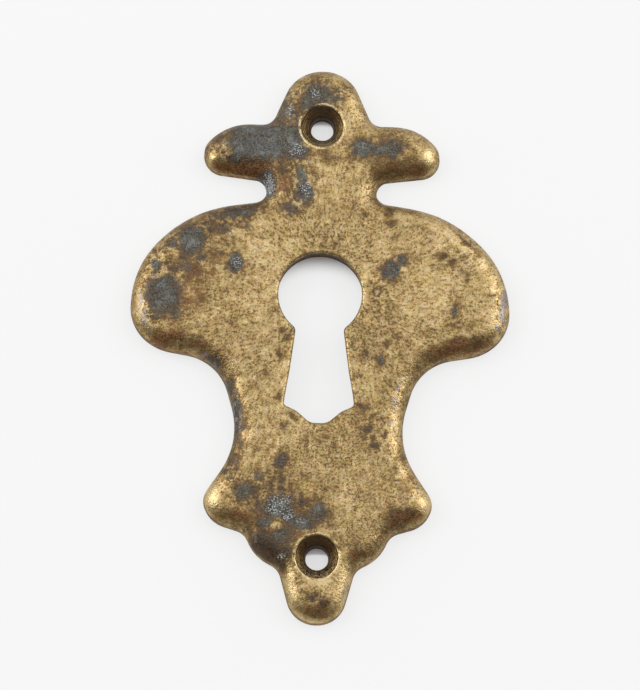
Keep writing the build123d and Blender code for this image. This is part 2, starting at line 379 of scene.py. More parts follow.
BROWN_STAIN = {
    "broad and thin": [
        (-3.3, 22.0, 2.3, 4.2, 10, 0.6), (-0.1, 24.2, 3.3, 2.0, 0, 0.5), (-3.2, 13.0, 2.1, 2.6, 0, 0.4),
        (-7.7, 17.0, 5.3, 2.1, 0, 1.05), (-14.0, 5.2, 4.2, 3.7, -30, 0.6), (-17.6, 1.3, 3.3, 4.9, 0, 0.65),
        (-10.1, 9.3, 4.0, 1.3, 14, 1.1), (-4.5, -25.7, 5.1, 4.0, 15, 1.25),
        (-6.0, -29.9, 2.3, 2.3, -40, 2), (-3.7, -30.7, 1.2, 1.6, 0, 2), (-0.8, -26.3, 2.3, 1.6, 0, 1.4),
        (6.7, -22.8, 2.3, 3.0, 0, 0.25), (1.0, 10.3, 1.4, 0.9, 0, 0.5), (-0.9, 17.1, 1.5, 0.7, 0, 1),
        (6.8, 17.6, 4.4, 1.7, 0, 0.6), (8.8, 3.3, 1.6, 1.4, 0, 0.7), (7.3, -10.8, 0.9, 1.2, 0, 0.4),
        (-6.4, -18.5, 1.4, 1.4, 0, 0.35), (1.2, 16.4, 1.2, 0.7, 0, 0.6), (6.2, -15.4, 2.1, 3.0, 0, 0.4),
        (-8.2, -23.4, 1.4, 2.0, 0, 1.6), (-5.9, -21.1, 2.3, 1.6, 0, 0.5), (0.0, -35.9, 2.1, 0.8, 0, 0.35),
        (3.2, -29.7, 2.3, 1.6, 0, 0.25), (7.8, 9.1, 2.6, 1.4, 0, 0.15), (10.1, 7.4, 2.3, 0.8, 10, 0.3),
        (6.7, -0.1, 1.0, 2.8, 0, 0.45), (7.5, -1.7, 1.4, 1.6, 0, 0.4), (8.8, -5.2, 0.9, 1.0, 0, 0.4),
        (-9.2, -4.3, 2.8, 1.6, 0, 0.2),
    ],
    "left ear": [
        (-10.5, 16.4, 0.8, 1.0, 0, 1.6), (-11.7, 18.6, 1.6, 0.9, 25, 1.1), (-12.6, 17.3, 1.3, 1.0, 0, 0.8),
        (-11.6, 15.7, 1.4, 0.8, 0, 0.65), (-8.4, 15.1, 2.8, 1.0, 0, 1.15), (-7.9, 16.2, 3.3, 0.6, 0, 1.5),
        (-4.7, 15.1, 1.4, 1.0, 0, 0.7), (-4.1, 13.3, 1.2, 1.2, 0, 0.5),
    ],
    "crown": [
        (-3.0, 22.7, 0.9, 1.0, 0, 1.7), (-4.9, 21.0, 0.9, 0.9, 0, 1.5), (-2.4, 19.8, 0.8, 1.6, 0, 1.2),
        (-4.2, 23.8, 0.9, 2.1, 20, 1.1), (-0.9, 14.0, 0.7, 1.2, 0, 0.8), (-0.8, 16.7, 0.9, 0.6, 0, 0.5),
        (2.0, 24.2, 1.4, 1.4, 0, 0.45),
    ],
    "right ear": [
        (8.9, 15.3, 3.0, 0.9, 0, 0.5), (10.1, 16.1, 1.4, 0.8, 0, 0.4),
    ],
    "left wing": [
        (-15.0, 2.7, 1.7, 1.3, 20, 1.4), (-16.5, 3.0, 1.5, 1.0, 30, 1.2), (-15.8, 0.7, 1.2, 1.2, 0, 0.4),
        (-16.0, -1.5, 0.9, 1.2, 0, 0.45), (-12.2, 7.8, 1.7, 1.2, 20, 1.2), (-11.9, 6.2, 1.6, 1.0, 0, 0.85),
        (-13.3, 4.9, 1.6, 1.0, -20, 0.6), (-11.6, -5.7, 1.2, 0.9, -20, 0.6),
        (-13.8, -0.5, 0.6, 0.5, 0, 0.5), (-7.7, 1.7, 0.5, 0.5, 0, 0.3), (-7.8, 3.6, 0.3, 0.3, 0, 0.4),
        (-17.0, -5.5, 1.9, 0.9, 0, 0.95), (-16.3, -4.1, 2.8, 0.5, -8, 0.3),
        (-14.3, -5.7, 1.6, 0.7, 0, 0.7), (-12.9, -6.8, 1.6, 0.7, -12, 0.8), (-13.8, -4.1, 1.0, 0.8, 0, 0.5),
        (-10.9, -6.3, 0.9, 1.2, 0, 0.4),
    ],
    "left waist": [
        (-11.6, -7.9, 0.9, 0.8, -40, 1.1), (-10.2, -11.0, 0.8, 1.4, -20, 1.3),
        (-9.5, -13.0, 0.8, 1.4, -8, 1.3), (-9.1, -15.1, 1.0, 1.6, 0, 1.3), (-9.2, -17.4, 0.8, 1.4, 5, 1.3),
        (-9.7, -19.5, 0.8, 1.3, 20, 1.3), (-10.6, -21.2, 0.7, 1.0, 35, 1.1),
    ],
    "beside the slot": [
        (7.9, -2.1, 1.4, 1.4, 0, 0.4), (5.4, -6.9, 0.7, 0.9, 0, 0.4), (-4.5, -4.4, 0.4, 0.4, 0, 1),
        (-3.7, -5.3, 0.3, 0.3, 0, 0.95),
        (-4.4, -7.1, 0.5, 0.5, 0, 0.95), (-5.2, -2.0, 0.3, 0.4, 0, 0.9), (-4.3, -12.1, 0.4, 0.6, 0, 1.2),
        (-3.9, -15.5, 0.5, 0.5, 0, 1.1), (-3.0, -14.6, 0.7, 0.3, -20, 1), (-6.1, -9.4, 0.7, 0.7, 0, 0.4),
        (-7.6, -10.9, 0.5, 0.5, 0, 0.6), (0.4, -16.7, 0.9, 0.5, 0, 0.3),
    ],
    "right wing": [
        (15.6, -3.9, 3.5, 0.6, 8, 0.4), (17.0, -5.6, 2.3, 0.7, 8, 0.75), (13.3, -6.7, 1.7, 0.7, 12, 0.55),
        (15.9, -5.5, 0.7, 0.6, 0, 1.6), (18.2, -5.4, 0.8, 0.7, 0, 1.6), (14.3, 4.6, 0.5, 0.4, 0, 1.2),
        (15.5, 4.1, 0.5, 0.6, 0, 1.2), (13.2, 3.5, 0.3, 0.3, 0, 1), (16.9, 2.2, 0.4, 0.6, 0, 1.2),
        (19.8, -0.2, 0.5, 0.3, 0, 1.5), (19.9, -1.3, 0.3, 0.5, 0, 1), (11.2, 9.2, 0.3, 0.3, 0, 0.9),
        (4.9, 9.7, 0.5, 0.3, 0, 0.8), (8.0, 8.6, 0.8, 0.6, 0, 1), (7.8, 9.9, 0.6, 0.5, 0, 1),
        (17.3, 6.2, 1.6, 0.3, -42, 0.7), (15.6, -1.7, 0.7, 0.9, 0, 1),
    ],
    "right waist": [
        (7.0, -7.5, 0.6, 0.9, -15, 1.1), (5.8, -15.8, 0.6, 0.6, 0, 1.5), (6.0, -14.6, 0.4, 0.4, 0, 1.4),
        (7.5, -16.5, 0.3, 0.3, 0, 1.4), (6.4, -17.8, 0.6, 0.3, 0, 1.5), (4.9, -13.1, 0.7, 0.5, 0, 1.3),
        (7.8, -5.6, 0.3, 0.5, 0, 0.9), (5.4, -6.7, 0.3, 0.3, 0, 0.8), (9.2, -21.8, 0.5, 0.3, 0, 1.2),
    ],
    "lower half": [
        (9.2, -19.7, 0.6, 1.4, -25, 0.6), (10.2, -21.9, 0.8, 0.9, 0, 0.6), (-9.2, -26.0, 1.7, 0.9, -8, 1),
        (-6.6, -25.8, 1.6, 1.4, -20, 1.15), (-1.4, -28.1, 1.0, 0.7, 30, 0.8),
        (-6.0, -22.3, 0.9, 0.7, 0, 0.6), (9.7, -25.8, 2.2, 0.8, 8, 0.95), (5.0, -30.2, 1.4, 0.6, 5, 0.75),
        (3.0, -29.4, 0.8, 0.6, 0, 0.5), (0.2, -36.7, 1.5, 0.6, 0, 0.8), (10.0, -22.0, 0.8, 0.5, 0, 0.5),
        (-4.2, -19.5, 0.7, 1.0, -25, 1.5), (8.1, -27.7, 0.5, 0.3, 0, 0.8),
        (-10.0, -23.2, 0.8, 1.0, 0, 0.5),
    ],
    "finial": [
        (-0.8, -35.5, 1.2, 0.5, 0, 1.5), (0.8, -35.9, 0.7, 0.5, 0, 1.4), (-1.7, -34.7, 0.3, 0.2, 0, 1),
    ],
}
RED_RUST = {
    "left side": [
        (-14.4, 2.8, 2.1, 1.9, 20, 0.45), (-15.3, 0.2, 1.4, 1.9, 0, 0.6), (-12.1, 3.5, 1.6, 1.2, 0, 0.4),
        (-11.5, 7.6, 1.6, 1.2, 0, 0.35), (-17.8, -5.4, 2.6, 0.9, 5, 0.9), (-14.2, -6.5, 2.3, 0.8, 10, 0.8),
        (-9.1, 15.0, 3.3, 0.8, 0, 1.1), (-4.2, 13.2, 1.0, 1.2, 0, 0.6), (-9.2, -26.0, 1.9, 0.8, -8, 0.9),
        (-6.3, -25.7, 1.0, 0.9, 0, 0.6), (-2.1, -28.3, 0.9, 0.9, 40, 0.5),
        (-11.5, -7.8, 1.2, 1.2, -40, 0.5),
    ],
    "right side": [
        (15.6, -6.2, 3.7, 0.9, 6, 1), (9.1, 15.2, 3.0, 0.7, 0, 0.8), (10.0, -26.1, 2.1, 0.7, 8, 0.8),
        (5.0, -30.3, 1.4, 0.7, 5, 0.7), (0.2, -36.8, 1.6, 0.6, 0, 1),
    ],
}
CRUMBLED = {
    "left side": [
        (-18.8, 3.4, 1.0, 4.0, 20, 1), (-17.3, 6.1, 1.0, 1.4, 35, 0.9), (-19.6, -1.1, 0.7, 2.3, 0, 0.9),
        (-19.0, -3.4, 0.9, 0.8, 0, 0.8), (-10.6, 9.3, 3.5, 1.0, 14, 0.8), (-13.5, 7.8, 1.4, 0.9, 0, 0.6),
        (-11.0, 17.5, 1.6, 1.4, 0, 0.9), (-3.6, 22.2, 1.2, 3.0, 10, 0.45), (-0.5, 24.9, 1.9, 1.0, 0, 0.7),
        (2.0, 24.0, 0.9, 1.2, 0, 0.6), (-2.5, 13.2, 2.1, 3.0, 0, 0.6), (-5.6, -24.3, 3.5, 3.0, 0, 0.35),
        (-10.0, -21.5, 0.9, 1.9, 0, 0.6),
    ],
    "right side and middle": [
        (20.6, -1.1, 0.6, 2.8, 0, 0.8), (13.9, 1.1, 4.4, 4.4, 0, 0.15), (-7.2, -16.2, 1.9, 5.1, 0, 0.12),
        (0.2, -17.9, 5.1, 1.6, 0, 0.12), (17.3, 5.6, 2.1, 1.9, -40, 0.4), (3.7, -24.2, 1.6, 1.2, 0, 0.4),
        (7.1, -15.4, 2.1, 3.0, 0, 0.4), (6.6, 0.2, 1.0, 2.8, 0, 0.5), (0.0, -35.6, 1.6, 0.7, 0, 0.5),
    ],
}
PALE_BLOOM = {
    "pale salts in the tarnish": [
        (-4.6, -24.5, 1.4, 1.0, 20, 1), (-3.3, -25.9, 0.7, 0.7, 0, 0.9), (-3.0, 17.1, 0.9, 0.8, 0, 0.8),
        (-2.0, 12.3, 0.7, 0.9, 25, 0.8), (-3.8, 22.2, 0.5, 1.0, 10, 0.8), (-9.5, 3.6, 0.6, 0.9, -15, 0.7),
        (-3.8, -30.6, 0.5, 0.5, 0, 0.7), (-6.2, 13.2, 0.8, 1.4, 0, 1.2), (-0.8, 24.2, 0.7, 0.7, 0, 0.6),
        (-1.8, -26.8, 0.7, 0.5, 0, 0.5), (-8.2, -27.5, 0.2, 0.2, 0, 0.8), (8.1, -27.5, 0.2, 0.2, 0, 0.8),
    ],
}
# Rubbed bright spots: partly real wear on tips and edges, partly painted highlights laid where the rolls,
# tips and finial catch the lamps
RUBBED_GOLD_AND_HIGHLIGHTS = {
    "plain places": [
        (-2.5, -22.4, 1.0, 1.2, 0, 0.4), (-9.7, 1.4, 0.9, 0.7, 0, 0.5), (-6.8, 4.8, 2.6, 1.4, 0, 0.45),
        (9.8, 0.7, 1.6, 1.4, 0, 0.35), (10.1, 8.8, 1.6, 0.8, 10, 0.4), (2.6, -24.2, 1.6, 1.2, 0, 0.3),
        (12.5, 2.0, 3.5, 1.6, 0, 0.55), (16.2, 1.2, 3.0, 2.6, 0, 0.3), (5.3, 1.0, 0.5, 2.3, 0, 0.45),
        (12.2, -0.7, 4.0, 2.8, 0, 0.4), (0.2, -33.5, 1.7, 0.9, 0, 0.9), (-1.1, -23.1, 1.0, 0.7, 0, 0.5),
        (6.1, -11.9, 1.6, 3.0, 0, 0.25), (-11.6, 1.6, 1.4, 0.9, 0, 0.5),
    ],
    "ears and crown": [
        (-12.8, 16.0, 0.5, 0.6, 0, 0.9), (-11.2, 17.8, 0.5, 0.7, 0, 1), (-9.1, 18.2, 0.3, 0.3, 0, 0.9),
        (-6.2, 19.8, 0.7, 0.2, 5, 0.8), (-1.6, 24.8, 0.3, 0.3, 0, 0.8), (0.0, 25.3, 0.3, 0.2, 0, 0.7),
        (12.6, 16.3, 0.8, 1.2, 0, 1), (3.6, 23.3, 0.7, 2.3, -14, 0.6), (2.0, 26.2, 1.2, 0.6, 30, 0.7),
    ],
    "wings": [
        (9.8, 3.1, 0.5, 0.4, 0, 0.9), (-20.8, -1.8, 0.6, 2.1, 4, 0.6), (21.1, -3.4, 0.5, 1.4, 8, 0.5),
        (-19.8, -4.6, 0.6, 0.7, 0, 0.7), (-18.9, -4.2, 0.9, 0.3, 0, 0.6), (20.1, -3.6, 0.8, 0.7, 0, 0.85),
        (19.9, -1.7, 0.5, 1.4, 0, 0.7), (20.5, -4.9, 0.7, 0.6, -30, 0.7), (-16.3, -5.9, 0.2, 0.2, 0, 0.8),
        (-17.1, 5.0, 0.5, 0.8, 20, 0.6), (-18.2, 2.9, 0.3, 0.9, 15, 0.6), (18.5, 3.9, 0.7, 1.6, -35, 0.5),
        (12.1, 8.6, 2.6, 0.5, -20, 0.6), (15.9, 6.5, 1.6, 0.5, -38, 0.6), (-19.5, 4.6, 0.3, 1.0, 25, 0.6),
    ],
    "waist": [
        (-9.0, -10.4, 0.5, 0.9, -25, 0.8), (8.9, -12.3, 0.3, 1.6, -8, 0.4), (8.8, -17.5, 0.3, 1.2, 5, 0.4),
        (-12.1, -8.8, 0.6, 0.6, -40, 0.5), (8.1, -14.8, 0.3, 2.6, 0, 0.15),
    ],
    "spurs and finial": [
        (-1.8, -35.7, 0.8, 0.8, 0, 0.5), (2.7, -37.0, 0.7, 0.9, -30, 0.7),
        (-2.0, -37.1, 0.7, 0.9, 30, 0.7), (3.2, -31.8, 0.9, 0.9, 0, 0.5), (11.1, -26.5, 1.0, 0.5, 20, 0.6),
        (12.9, -25.2, 0.6, 0.7, 0, 0.6), (-7.6, -27.4, 0.9, 0.3, -25, 0.5),
        (-10.9, -21.8, 0.6, 0.8, 30, 0.5), (-12.0, -24.2, 0.9, 1.3, 0, 1), (12.2, -24.5, 0.9, 1.3, 0, 1),
        (11.7, -26.0, 1.0, 0.4, 30, 0.5), (-4.7, -27.4, 0.8, 0.6, 0, 0.8), (-2.9, -33.9, 0.6, 2.6, 8, 1),
        (3.2, -34.5, 0.6, 2.8, -6, 1), (2.4, -31.6, 0.7, 1.2, 0, 0.8), (0.2, -32.5, 1.9, 0.7, 0, 0.6),
        (0.3, -38.1, 2.6, 0.5, 0, 0.8),
    ],
}
# Lilac-grey film laid where the rolls catch the lamps: partly a real tarnish film, partly painted sheen
FILM_AND_SHEEN_DABS = {
    "wings": [
        (21.2, -0.2, 0.4, 1.4, -6, 1), (21.1, -2.2, 0.5, 1.4, 0, 0.9), (20.6, -3.8, 0.3, 0.6, 20, 0.6),
        (-20.8, -1.1, 0.3, 1.4, 4, 0.8), (-20.2, -3.0, 0.4, 1.0, -10, 0.9), (-19.7, -4.6, 0.3, 0.5, -30, 0.6),
        (-21.1, -1.3, 0.3, 1.9, 0, 0.15),
    ],
    "waist": [
        (-13.5, -7.1, 1.0, 0.2, -12, 0.8), (-12.3, -8.4, 1.3, 0.5, -45, 0.42),
        (-10.7, -11.0, 0.3, 1.7, 22, 0.5), (-9.7, -14.1, 0.3, 2.1, 5, 0.55), (-8.9, -15.1, 0.3, 2.6, 0, 0.45),
        (8.9, -11.6, 0.3, 2.3, -10, 0.55), (8.5, -15.4, 0.3, 2.1, 0, 0.45),
    ],
    "collar, scallop and finial": [
        (-6.0, 13.3, 0.5, 1.2, 0, 0.62), (-7.2, -28.6, 0.7, 0.5, 0, 0.5), (3.3, -34.3, 0.3, 1.3, -8, 0.5),
    ],
}


# Mesh of the plate

def rising(values, nothing, full):
    """Straight rise from 0 at one value to 1 at another, which may be the lower one."""
    return np.clip((values - nothing) / (full - nothing), 0, 1)


def choose(thing):
    """Make one object the only selected and active one."""
    bpy.ops.object.select_all(action="DESELECT")
    thing.select_set(True)
    bpy.context.view_layer.objects.active = thing


def apply_modifier(thing, kind, **settings):
    """Add a modifier, set it and apply it."""
    choose(thing)
    modifier = thing.modifiers.new(kind.lower(), kind)
    for name, value in settings.items():
        setattr(modifier, name, value)
    bpy.ops.object.modifier_apply(modifier=modifier.name)


def vertex_rows(thing, what):
    """One row of three values for each vertex."""
    flat = np.empty(len(thing.data.vertices) * 3, dtype=np.float32)
    thing.data.vertices.foreach_get(what, flat)
    return flat.reshape(-1, 3).astype(float)


def points_of(thing):
    """Vertex places in millimetres."""
    return vertex_rows(thing, "co") / MM


def normals_of(thing):
    """Vertex normals."""
    return vertex_rows(thing, "normal")


def move_to(thing, points):
    """Put the vertices at places given in millimetres."""
    thing.data.vertices.foreach_set("co", (points * MM).astype(np.float32).ravel())
    thing.data.update()


def screw_distance(points):
    """Distance of each point from the nearer screw hole's axis."""
    return np.min([np.hypot(points[:, 0], points[:, 1] - height) for height in SCREW_HEIGHTS], axis=0)


def thin_the_back(plate):
    """Merge most of the faces of the flat back, which needs few."""
    choose(plate)
    flat_back = points_of(plate)[:, 2] < BACK_HEIGHT
    bpy.ops.object.mode_set(mode="EDIT")
    bpy.ops.mesh.select_all(action="DESELECT")
    bpy.ops.object.mode_set(mode="OBJECT")
    plate.data.vertices.foreach_set("select", flat_back)
    bpy.ops.object.mode_set(mode="EDIT")
    bpy.ops.mesh.select_mode(type="VERT")
    bpy.ops.mesh.decimate(ratio=BACK_FACES_KEPT)
    bpy.ops.object.mode_set(mode="OBJECT")


def cast_plate():
    """Copy the plate from the frame and give it an even skin of small faces."""
    source = frame["nodes"]["escutcheon_plate"]
    plate = bpy.data.objects.new("cast_plate", source.data.copy())
    bpy.context.collection.objects.link(plate)
    plate.data.materials.clear()
    choose(plate)
    bpy.ops.object.mode_set(mode="EDIT")
    bpy.ops.mesh.select_all(action="SELECT")
    bpy.ops.mesh.remove_doubles(threshold=MERGE_GAP * MM)
    bpy.ops.object.mode_set(mode="OBJECT")
    apply_modifier(plate, "REMESH", mode="VOXEL", voxel_size=SKIN_CELL * MM)
    apply_modifier(plate, "SMOOTH", factor=0.5, iterations=SKIN_SMOOTHING)
    apply_modifier(plate, "SHRINKWRAP", target=source, wrap_method="NEAREST_SURFACEPOINT")
    thin_the_back(plate)
    return plate


def walls(points, normals):
    """Which points lie on upright walls: those of the outer rim and those of the keyhole."""
    low, high = WALL_HEIGHTS
    upright = (np.abs(normals[:, 2]) < WALL_LEAN) & (points[:, 2] > low) & (points[:, 2] < high)
    upright &= screw_distance(points) > COUNTERSINK_RADIUS
    reach = EYE_RADIUS + KEYHOLE_MARGIN
    keyhole = (np.abs(points[:, 0]) < reach) & (points[:, 1] < reach)
    keyhole &= points[:, 1] > KEYHOLE_FOOT - KEYHOLE_MARGIN
    return upright & ~keyhole, upright & keyhole


def nearest_of(points, chosen):
    """The nearest of the chosen points to each point, seen from the front."""
    tree = KDTree(int(chosen.sum()))
    for index in np.flatnonzero(chosen):
        tree.insert((points[index, 0], points[index, 1], 0), index)
    tree.balance()
    return np.array([tree.find((x, y, 0))[1] for x, y, _ in points])


def depth_inside(plate):
    """How far each point lies inside the outer rim, seen from the front."""
    points, normals = points_of(plate), normals_of(plate)
    nearest = nearest_of(points, walls(points, normals)[0])
    gap = points[:, :2] - points[nearest, :2]
    straight = np.hypot(gap[:, 0], gap[:, 1])
    inward = -np.sum(gap * normals[nearest, :2], axis=1)
    return np.where(straight < SQUARE_REACH, np.maximum(inward, 0), straight)


def keyhole_gap(plate):
    """How far each point lies from the keyhole's wall, seen from the front, and the way out of it."""
    points, normals = points_of(plate), normals_of(plate)
    nearest = nearest_of(points, walls(points, normals)[1])
    gap = points[:, :2] - points[nearest, :2]
    return np.hypot(gap[:, 0], gap[:, 1]), -normals[nearest, :2]


def wear_the_roll(plate, depth):
    """Lower the front near the rim to the wider, flatter round of the worn roll, and skew the plate."""
    points = points_of(plate)
    drop = THICKNESS - RIM_HEIGHT
    radius = ROLL_REACH / sin(2 * atan(drop / ROLL_REACH))
    short = np.clip(ROLL_REACH - depth, 0, ROLL_REACH)
    roll = THICKNESS - radius + np.sqrt(radius ** 2 - short ** 2)
    points[:, 2] = np.minimum(points[:, 2], roll)
    points[:, 1] -= CAST_SKEW * points[:, 0]
    points[:, 1] = np.clip(points[:, 1], PLATE_LOW.y + BOX_MARGIN, PLATE_HIGH.y - BOX_MARGIN)
    move_to(plate, points)


def wear_the_keyhole(plate, gap, outwards):
    """Round the front edge of the keyhole, give its wall the draft of a casting, and close it a little."""
    points = points_of(plate)
    front_third = rising(points[:, 2], THICKNESS * 2 / 3, THICKNESS)
    points[:, 2] -= KEYHOLE_EASE_DROP * rising(gap, KEYHOLE_EASE_REACH, 0) ** 2 * front_third
    draft = KEYHOLE_DRAFT * rising(points[:, 2], THICKNESS, 0) * rising(gap, *KEYHOLE_DRAFT_FADE)
    foot = rising(points[:, 1], *KEYHOLE_FOOT_FADE)
    beside = rising(gap, *KEYHOLE_CLOSE_FADE)
    points[:, :2] += outwards * (draft - KEYHOLE_CLOSE * (1 - foot) * beside)[:, None]
    points[:, 1] += KEYHOLE_FOOT_RISE * foot * beside
    move_to(plate, points)


def group_of(plate, name, weights):
    """Vertex group from one weight for each vertex, in steps of a tenth."""
    group = plate.vertex_groups.new(name=name)
    steps = np.round(weights * 10).astype(int)
    for step in range(1, 11):
        group.add([int(index) for index in np.flatnonzero(steps == step)], step / 10, "REPLACE")


def waviness(plate, gap):
    """Give the front the slight unevenness of an old casting, with crisp edges at the holes."""
    raised = points_of(plate)[:, 2] > WAVES_ABOVE
    group_of(plate, "front", raised)
    group_of(plate, "away_from_holes", raised * rising(gap, *CRISP_EDGE_FADE))
    apply_modifier(plate, "SMOOTH", factor=0.5, iterations=FRONT_SMOOTHING, vertex_group="away_from_holes")
    for name, size, depth, level in WAVES:
        cloud = bpy.data.textures.new(name, "CLOUDS")
        cloud.noise_scale = size * MM
        cloud.noise_depth = 1
        apply_modifier(
            plate, "DISPLACE", texture=cloud, texture_coords="LOCAL", vertex_group="front",
            strength=depth * MM, mid_level=level,
        )


def raise_grains(plate):
    """Raise the small rounded grains that stand on the casting."""
    points, normals = points_of(plate), normals_of(plate)
    front = normals[:, 2] > FRONT_NORMAL
    for x, y, radius, height in GRAINS:
        away = np.hypot(points[:, 0] - x, points[:, 1] - y) / radius
        points[:, 2] += front * height * np.cos(np.clip(away, 0, 1) * pi / 2) ** 2
    points[:, 2] = np.minimum(points[:, 2], THICKNESS)
    move_to(plate, points)


# Patina, with painted shade in the screw holes and painted highlights and sheen on the rolls, painted on the
# plate as by hand

def wander(points, size, reach):
    """Shift points by up to a reach, so that dabs laid on them get uneven outlines."""
    shifts = [perlin.noise_vector(Vector(point) / size) for point in points]
    return points + reach * np.array(shifts)


def layer(points, dabs_by_place, fade=DAB_FADE):
    """One layer of oval dabs, the strongest of them at each point, fading towards their edges."""
    cover = np.zeros(len(points))
    for dabs in dabs_by_place.values():
        for x, y, half_width, half_height, turn, strength in dabs:
            across, along = points[:, 0] - x, points[:, 1] - y
            c, s = cos(radians(turn)), sin(radians(turn))
            u = (c * across + s * along) / half_width
            v = (c * along - s * across) / half_height
            cover = np.maximum(cover, strength * np.clip(fade - np.hypot(u, v), 0, 1))
    return cover


def kinds_of_place(points, normals, depth, gap):
    """How far each point belongs to the raw back, the undersides, the edge, the walls and the screw holes."""
    upright = np.abs(normals[:, 2])
    raw = rising(-normals[:, 2], *RAW_FADE)
    under = rising(-normals[:, 1], *UNDER_FADE) * rising(depth, *UNDER_DEPTH_FADE) * (1 - raw)
    edge = rising(depth, *EDGE_FADE)
    inside = (depth > INNER_WALL_FROM_RIM) & (gap < INNER_WALL_GAP)
    return {
        "raw": raw,
        "under": under * (depth < ROLL_REACH) * (points[:, 1] > FINIAL_TOP),
        "edge": edge,
        "outer_wall": edge * rising(upright, *OUTER_WALL_FADE),
        "inner_wall": inside * rising(upright, *INNER_WALL_FADE),
        "sink": (screw_distance(points) < COUNTERSINK_RADIUS) * (1 - raw),
    }


def hole_tarnish_and_shade(points):
    """Depth of tarnish in the nearer screw hole, with painted shade that darkens it towards its top."""
    heights = points[:, 1:2] - np.array(SCREW_HEIGHTS)
    nearer = np.abs(heights).argmin(axis=1)
    rise = heights[np.arange(len(points)), nearer] / COUNTERSINK_RADIUS
    return HOLE_DEPTH + HOLE_PAINTED_SHADE * rise + HOLE_TOP_PAINTED_SHADE * np.clip(rise, 0, 1)


def tarnish_and_shade_of(points, kinds, stain, rubbed_and_highlit):
    """Depth of tarnish at each point, from the stains, the rubbed spots and painted highlights, the kind of
    place, and the painted shade in the screw holes.
    """
    tarnish_and_shade = PLAIN_DEPTH + (STAIN_DEPTH - PLAIN_DEPTH) * stain
    tarnish_and_shade = np.maximum(tarnish_and_shade, PLAIN_DEPTH + (UNDER_DEPTH - PLAIN_DEPTH) * kinds["under"])
    coats = (
        (kinds["edge"], np.maximum(tarnish_and_shade, EDGE_DEPTH)),
        (rubbed_and_highlit * RUBBED_AND_HIGHLIT_STRENGTH, RUBBED_AND_HIGHLIT_DEPTH),
        (kinds["sink"], hole_tarnish_and_shade(points)),
        (kinds["outer_wall"], RIM_DEPTH),
        (kinds["inner_wall"], INNER_WALL_DEPTH_AND_SHADE),
        (kinds["raw"], BACK_DEPTH),
    )
    for share, depth in coats:
        tarnish_and_shade = tarnish_and_shade + (depth - tarnish_and_shade) * share
    return tarnish_and_shade


def paint_patina(plate, depth, gap):
    """Paint the tarnish with the painted shade in the screw holes, the stains and salts, the rubbed spots
    with painted highlights, and the film with painted sheen, on colour layers that the brass reads.
    """
    points, normals = points_of(plate), normals_of(plate)
    perlin.seed_set(WANDER_SEED)
    strayed = points
    for size, reach in WANDERS:
        strayed = wander(strayed, size, reach)
    kinds = kinds_of_place(points, normals, depth, gap)
    halo = HALO_STRENGTH * layer(strayed, SLATE_TARNISH, HALO_FADE)
    stain = np.maximum(layer(strayed, BROWN_STAIN), halo)
    rubbed_and_highlit = layer(strayed, RUBBED_GOLD_AND_HIGHLIGHTS)
    front = 1 - kinds["raw"]
    values = {
        "tarnish_and_shade": tarnish_and_shade_of(points, kinds, stain, rubbed_and_highlit),
        "slate": front * layer(strayed, SLATE_TARNISH),
        "salts": front * layer(strayed, PALE_BLOOM),
        "rubbed_and_highlit": front * rubbed_and_highlit,
        "film_and_sheen": front * layer(strayed, FILM_AND_SHEEN_DABS),
        "rust": front * np.maximum(UNDER_RUST * kinds["under"], layer(strayed, RED_RUST)),
        "raw": kinds["raw"],
        "wall": np.maximum(kinds["outer_wall"], kinds["inner_wall"]),
        "crumbs": front * layer(strayed, CRUMBLED),
    }
    for name, parts in PAINT.items():
        made = plate.data.color_attributes.new(name, "FLOAT_COLOR", "POINT")
        colours = np.stack([values[part] for part in parts] + [np.ones(len(points))], axis=1)
        made.data.foreach_set("color", colours.astype(np.float32).ravel())


# Node helpers

def node(tree, kind, inputs=None, **settings):
    """Add a node. An input is a socket to link from or a plain value."""
    made = tree.nodes.new(kind)
    for name, value in settings.items():
        setattr(made, name, value)
    for name, value in (inputs or {}).items():
        if isinstance(value, bpy.types.NodeSocket):
            tree.links.new(value, made.inputs[name])
        else:
            made.inputs[name].default_value = value
    return made


def calc(tree, operation, *values):
    """A Math node's result."""
    return node(tree, "ShaderNodeMath", dict(enumerate(values)), operation=operation).outputs[0]


def vector(tree, operation, *values):
    """A Vector Math node's result."""
    made = node(tree, "ShaderNodeVectorMath", dict(enumerate(values)), operation=operation)
    return made.outputs["Value" if operation == "LENGTH" else "Vector"]


def plus(tree, *values):
    """Sum of values."""
    return reduce(partial(calc, tree, "ADD"), values)


def times(tree, *values):
    """Product of values."""
    return reduce(partial(calc, tree, "MULTIPLY"), values)


def most(tree, *values):
    """Largest of values."""
    return reduce(partial(calc, tree, "MAXIMUM"), values)


def rest(tree, share):
    """What a share leaves of 1."""
    return calc(tree, "SUBTRACT", 1.0, share)


def more(tree, value, share, amount):
    """A value with a share of an amount added to it."""
    return calc(tree, "MULTIPLY_ADD", share, amount, value)


def toward(tree, share, value, target):
    """A value moved by a share of the way to a target."""
    return plus(tree, value, times(tree, share, calc(tree, "SUBTRACT", target, value)))


def between(tree, value, low, high):
    """Smooth rise from 0 at one value to 1 at another, which may be the lower one."""
    inputs = {"Value": value, "From Min": low, "From Max": high}
    return node(tree, "ShaderNodeMapRange", inputs, interpolation_type="SMOOTHSTEP").outputs["Result"]


def blend(tree, share, below, above):
    """Mix two colours by a share."""
    return node(tree, "ShaderNodeMix", {0: share, 6: below, 7: above}, data_type="RGBA").outputs[2]


def ramp(tree, value, stops):
    """Colour from a row of stops, the first at 0 and the last at 1."""
    made = node(tree, "ShaderNodeValToRGB", {"Fac": value})
    elements = made.color_ramp.elements
    elements[0].color = stops[0][1]
    elements[1].color = stops[-1][1]
    for place, colour in stops[1:-1]:
        elements.new(place).color = colour
    return made.outputs["Color"]


